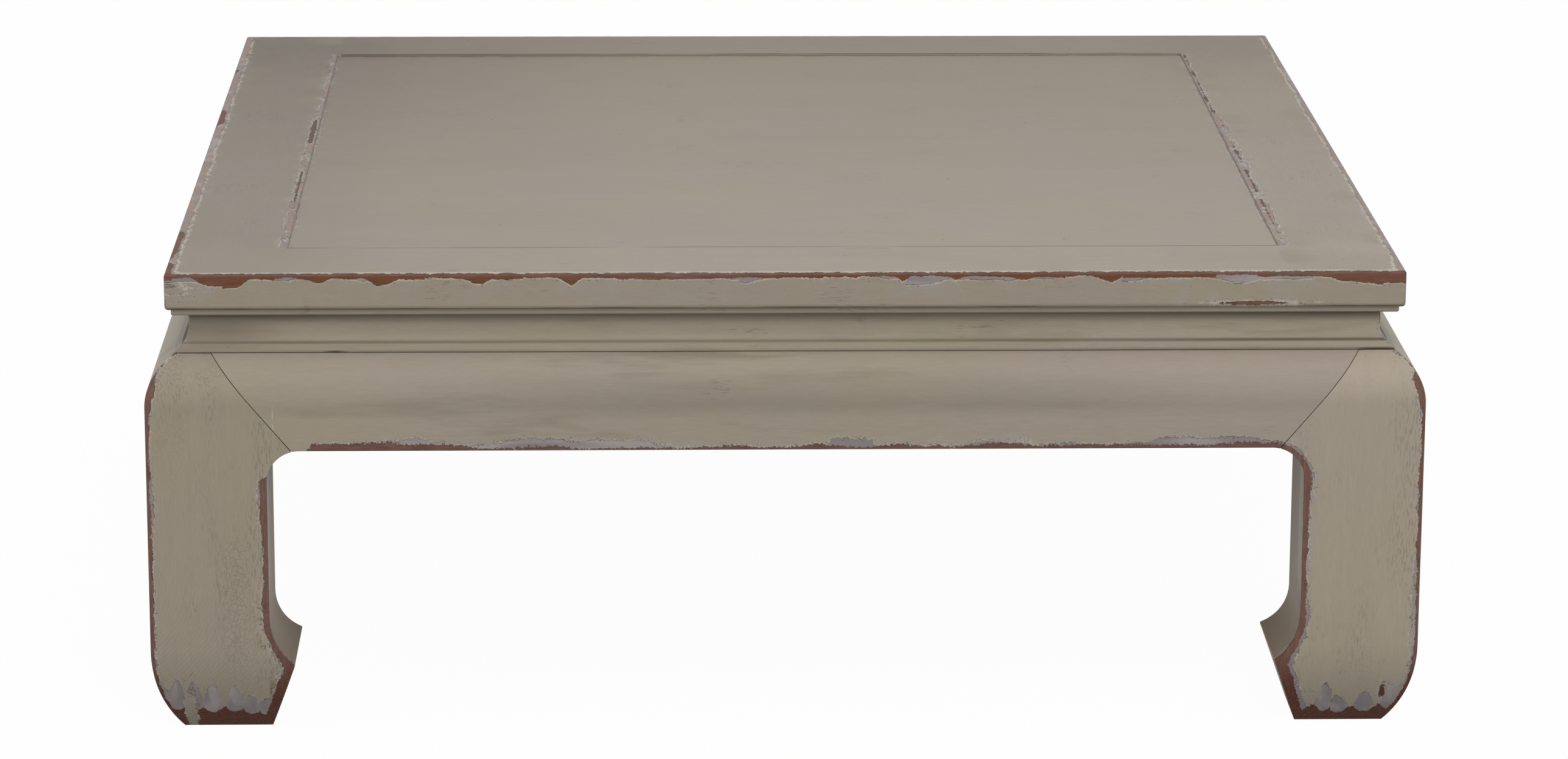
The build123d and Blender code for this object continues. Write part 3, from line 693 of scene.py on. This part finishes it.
def mouldings_finish(name, along):
    """Waist and ledge: paint with dirt in the joints and a pale rubbed line down each corner, dirt and
    painted shadow under the top, and painted light and shade on their faces.
    """
    surface = Surface(name)
    z = surface.z
    corner = size_of(surface.across - surface.back)
    outward = greatest(surface.across, surface.back)
    streaks = rise(surface.clouds(45, along, detail=4, rough=0.65, shift=9.0), 0.52, 0.68) * 0.45
    uneven = rise(surface.clouds(16, along, detail=3, shift=30.0), 0.35, 0.65)
    gap = along_part(surface.x, *OPEN_JOINTS[0]) + along_part(surface.x, *OPEN_JOINTS[1])
    joint = rise(z, SHOULDER + 2.6 * MM, SHOULDER + 0.7 * MM) * (0.16 + uneven * 0.3)
    joint = greatest(joint, rise(z, SHOULDER + 1.5 * MM, SHOULDER + 0.9 * MM) * gap)
    step = rise(size_of(z - LEDGE_LEVEL - 0.3 * MM), 1.5 * MM, 0.4 * MM) * (0.35 + uneven * 0.35)
    # Dark under the top's overhang: partly dirt, partly painted shadow.
    dirt_and_shadow_under_top = rise(z, RAIL_UNDERSIDE - 11 * MM, RAIL_UNDERSIDE - 1 * MM) * (0.53 + uneven * 0.35)
    # The left end is made darker.
    left_end = rise(surface.x, -0.385, -0.455) * (0.20 + uneven * 0.16)
    rubbed = rise(surface.clouds(60, detail=2), 0.40, 0.55) * (1.2 * MM) - 0.4 * MM
    bare = outward - WAIST_INNER - 0.6 * MM
    under = least(corner - rubbed, bare + 0.2 * MM)
    wood = bare_wood_look(surface, along, streaks, 1 - streaks)
    on_side = rise(surface.across - surface.back, -2 * MM, 2 * MM)
    # Painted light and shade: the cove, the ledge and the side faces are painted darker, and the upper waist
    # lighter towards its right end.
    tone = 1.10 - rise(z, LEDGE_LEVEL + 12 * MM, LEDGE_LEVEL + 5 * MM) * 0.12 - on_side * 0.18
    tone = tone - rise(z, LEDGE_LEVEL + 1 * MM, LEDGE_LEVEL - 1 * MM) * 0.06
    tone = tone + rise(surface.x, 0.0, 0.40) * rise(z, LEDGE_LEVEL + 2 * MM, LEDGE_LEVEL + 8 * MM) * 0.12
    grime_and_shade = greatest(joint, step, dirt_and_shadow_under_top, left_end)
    return worn_coats(surface, along, bare, under, wood, warm=0.6, tone=tone, smudge=streaks, grime_and_shade=grime_and_shade)


def joint_paint():
    """The paint that has run into the joint round the panel."""
    surface = Surface("paint_in_panel_joint")
    dirty = rise(surface.clouds(30, detail=3), 0.40, 0.60)
    colour, relief = greige_paint(surface, ALONG_X, 0.3, 1.0, 0.0, dirty * 0.25)
    return surface.finish(colour, 0.55, relief)


def battens_finish():
    surface = Surface("bare_batten_wood")
    grain = surface.clouds(300, ALONG_Y, detail=4, rough=0.6)
    dark = rise(surface.clouds(20, ALONG_Y), 0.4, 0.7) * 0.5 + 0.3
    colour = bare_wood_look(surface, ALONG_Y, grain * 0.3, dark)
    return surface.finish(colour, 0.6 + grain * 0.1, grain * (0.2 * MM))


# ---------------------------------------------------------------- pieces


def only_select(piece):
    bpy.ops.object.select_all(action="DESELECT")
    piece.select_set(True)
    bpy.context.view_layer.objects.active = piece


def arris_weight(edge):
    """How much of the full easing an edge of a leg or an apron gets, by its place."""
    if len(edge.link_faces) != 2 or edge.calc_face_angle(0) < radians(25):
        return 0.0
    middle = (edge.verts[0].co + edge.verts[1].co) / 2
    if middle.z > SHOULDER - 2 * MM:
        return 0.0
    normals = [face.normal for face in edge.link_faces]
    if any(normal.z < -0.9 for normal in normals) and middle.z < 1 * MM:
        return 0.4
    if abs(middle.z - TOE_LEVEL) < 4 * MM and all(abs(normal.z) > 0.05 for normal in normals):
        return 1.0
    outward = max(abs(middle.x), abs(middle.y))
    return 0.7 if outward > TOP_HALF - 12 * MM else 0.0


def eased_copy(name, weigh, material):
    """A piece that stands for a CAD node: the same shape, with the arrises eased that weigh picks."""
    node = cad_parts[name]
    piece = bpy.data.objects.new(name + "_painted", node.data.copy())
    bpy.context.scene.collection.objects.link(piece)
    only_select(piece)
    bpy.ops.object.mode_set(mode="EDIT")
    bpy.ops.mesh.select_all(action="SELECT")
    bpy.ops.mesh.remove_doubles(threshold=0.01 * MM)
    bpy.ops.mesh.dissolve_limited(angle_limit=radians(0.3))
    if weigh:
        shape = bmesh.from_edit_mesh(piece.data)
        shape.normal_update()
        weights = shape.edges.layers.float.get("bevel_weight_edge") or shape.edges.layers.float.new(
            "bevel_weight_edge"
        )
        for edge in shape.edges:
            edge[weights] = weigh(edge)
        bmesh.update_edit_mesh(piece.data)
    bpy.ops.object.mode_set(mode="OBJECT")
    if weigh:
        bevel = piece.modifiers.new("eased arrises", "BEVEL")
        bevel.limit_method = "WEIGHT"
        bevel.width = EASING
        bevel.segments = 3
        bevel.use_clamp_overlap = False
        bpy.ops.object.modifier_apply(modifier=bevel.name)
    bpy.ops.object.shade_smooth_by_angle(angle=radians(35))
    even = piece.modifiers.new("even shading", "WEIGHTED_NORMAL")
    even.keep_sharp = True
    bpy.ops.object.modifier_apply(modifier=even.name)
    piece.data.materials.clear()
    piece.data.materials.append(material)
    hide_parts(name)
    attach(piece, "root")
    return piece


def fill_panel_joint(material):
    """A thin square ring of paint in the joint between the panel and its frame."""
    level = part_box("top_panel")[1].z - 0.30 * MM
    bpy.ops.object.select_all(action="DESELECT")
    bpy.ops.mesh.primitive_plane_add(size=2 * LIP, location=(0.0, 0.0, level))
    piece = bpy.context.active_object
    piece.name = "paint_in_joint"
    bpy.ops.object.mode_set(mode="EDIT")
    bpy.ops.mesh.select_all(action="SELECT")
    bpy.ops.mesh.inset(thickness=0.9 * MM)
    bpy.ops.mesh.delete(type="FACE")
    bpy.ops.object.mode_set(mode="OBJECT")
    bpy.ops.object.transform_apply(location=True)
    piece.data.materials.append(material)
    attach(piece, "root")


legs_paint = legs_finish()
aprons_paint = {
    "x": aprons_finish("worn_paint_on_aprons", ALONG_X),
    "y": aprons_finish("worn_paint_on_side_aprons", ALONG_Y),
}
rails_paint = {
    "x": rails_finish("worn_paint_on_rails", ALONG_X),
    "y": rails_finish("worn_paint_on_end_rails", ALONG_Y),
}
mouldings_paint = {
    "x": mouldings_finish("paint_on_mouldings", ALONG_X),
    "y": mouldings_finish("paint_on_side_mouldings", ALONG_Y),
}

for place in ("front_left", "front_right", "back_left", "back_right"):
    eased_copy("leg_" + place, arris_weight, legs_paint)
for place, run in (("front", "x"), ("back", "x"), ("left", "y"), ("right", "y")):
    eased_copy("apron_" + place, arris_weight, aprons_paint[run])
    eased_copy("top_rail_" + place, None, rails_paint[run])
    eased_copy("waist_" + place, None, mouldings_paint[run])
    eased_copy("ledge_" + place, None, mouldings_paint[run])
eased_copy("top_panel", None, panel_finish())
fill_panel_joint(joint_paint())

batten_wood = battens_finish()
for place in ("left", "middle", "right"):
    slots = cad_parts["batten_" + place].material_slots
    for slot in slots:
        slot.material = batten_wood


# ---------------------------------------------------------------- floor, light and camera


def rays_to_background(tree):
    """1 for the rays that show the pale background: the camera's own, and those by gloss or glass."""
    rays = add_node(tree, "ShaderNodeLightPath")
    kinds = ("Is Camera Ray", "Is Glossy Ray", "Is Transmission Ray")
    return greatest(*[Field(tree, rays.outputs[kind]) for kind in kinds])


def make_floor():
    """A pale floor that looks white and keeps a soft shadow."""
    bpy.ops.object.select_all(action="DESELECT")
    bpy.ops.mesh.primitive_plane_add(size=24.0, location=(0.0, 0.0, 0.0))
    floor = bpy.context.active_object
    floor.name = "floor"
    material = bpy.data.materials.new("pale_floor")
    material.use_nodes = True
    tree = material.node_tree
    tree.nodes.clear()
    seen = rays_to_background(tree)
    matt = add_node(tree, "ShaderNodeBsdfDiffuse", None, {"Color": mixed(seen, FLOOR_GREY, FLOOR_WHITE)})
    glow = add_node(tree, "ShaderNodeEmission", None, {"Color": (1.0, 1.0, 1.0, 1.0), "Strength": 1.0})
    mix = add_node(tree, "ShaderNodeMixShader", None, {0: seen * 0.97})
    tree.links.new(matt.outputs[0], mix.inputs[1])
    tree.links.new(glow.outputs[0], mix.inputs[2])
    output = add_node(tree, "ShaderNodeOutputMaterial")
    tree.links.new(mix.outputs[0], output.inputs["Surface"])
    floor.data.materials.append(material)


def make_lamp(name, place, target, size, power):
    data = bpy.data.lights.new(name, "AREA")
    data.shape = "RECTANGLE"
    data.size, data.size_y = size
    data.energy = power
    lamp = bpy.data.objects.new(name, data)
    bpy.context.scene.collection.objects.link(lamp)
    lamp.location = place
    lamp.rotation_euler = (Vector(target) - Vector(place)).to_track_quat("-Z", "Y").to_euler()
    return lamp


def make_world():
    world = bpy.data.worlds.new("studio")
    bpy.context.scene.world = world
    world.use_nodes = True
    tree = world.node_tree
    tree.nodes.clear()
    seen = rays_to_background(tree)
    strength = between(seen, 0.65, 1.0)
    sky = add_node(tree, "ShaderNodeBackground", None, {"Color": (1.0, 1.0, 1.0, 1.0), "Strength": strength})
    output = add_node(tree, "ShaderNodeOutputWorld")
    tree.links.new(sky.outputs[0], output.inputs["Surface"])


def make_camera():
    """At the height of a standing viewer's chest, a little left of the middle."""
    data = bpy.data.cameras.new("camera")
    data.sensor_width = 36.0
    data.lens = 125.286
    data.clip_end = 60.0
    camera = bpy.data.objects.new("camera", data)
    bpy.context.scene.collection.objects.link(camera)
    forward = Vector((0.0284358, 0.96747799, -0.25135185)).normalized()
    right = Vector((0.99959006, -0.02836097, 0.0039209)).normalized()
    up = right.cross(forward)
    turn = Matrix((right, up, -forward)).transposed().to_4x4()
    camera.matrix_world = Matrix.Translation((-0.12754, -4.76411, 1.4010)) @ turn
    bpy.context.scene.camera = camera


make_floor()
make_world()
make_lamp("key softbox", (0.8, -2.4, 2.6), (0.0, -0.1, 0.25), (2.0, 1.6), 34.0)
make_lamp("front fill", (0.4, -3.6, 0.9), (0.0, -0.3, 0.25), (2.0, 1.4), 7.0)
make_lamp("side fill", (-3.0, -1.6, 1.0), (0.3, -0.4, 0.15), (1.6, 1.2), 15.0)
make_camera()
bpy.context.scene.view_settings.view_transform = "Standard"
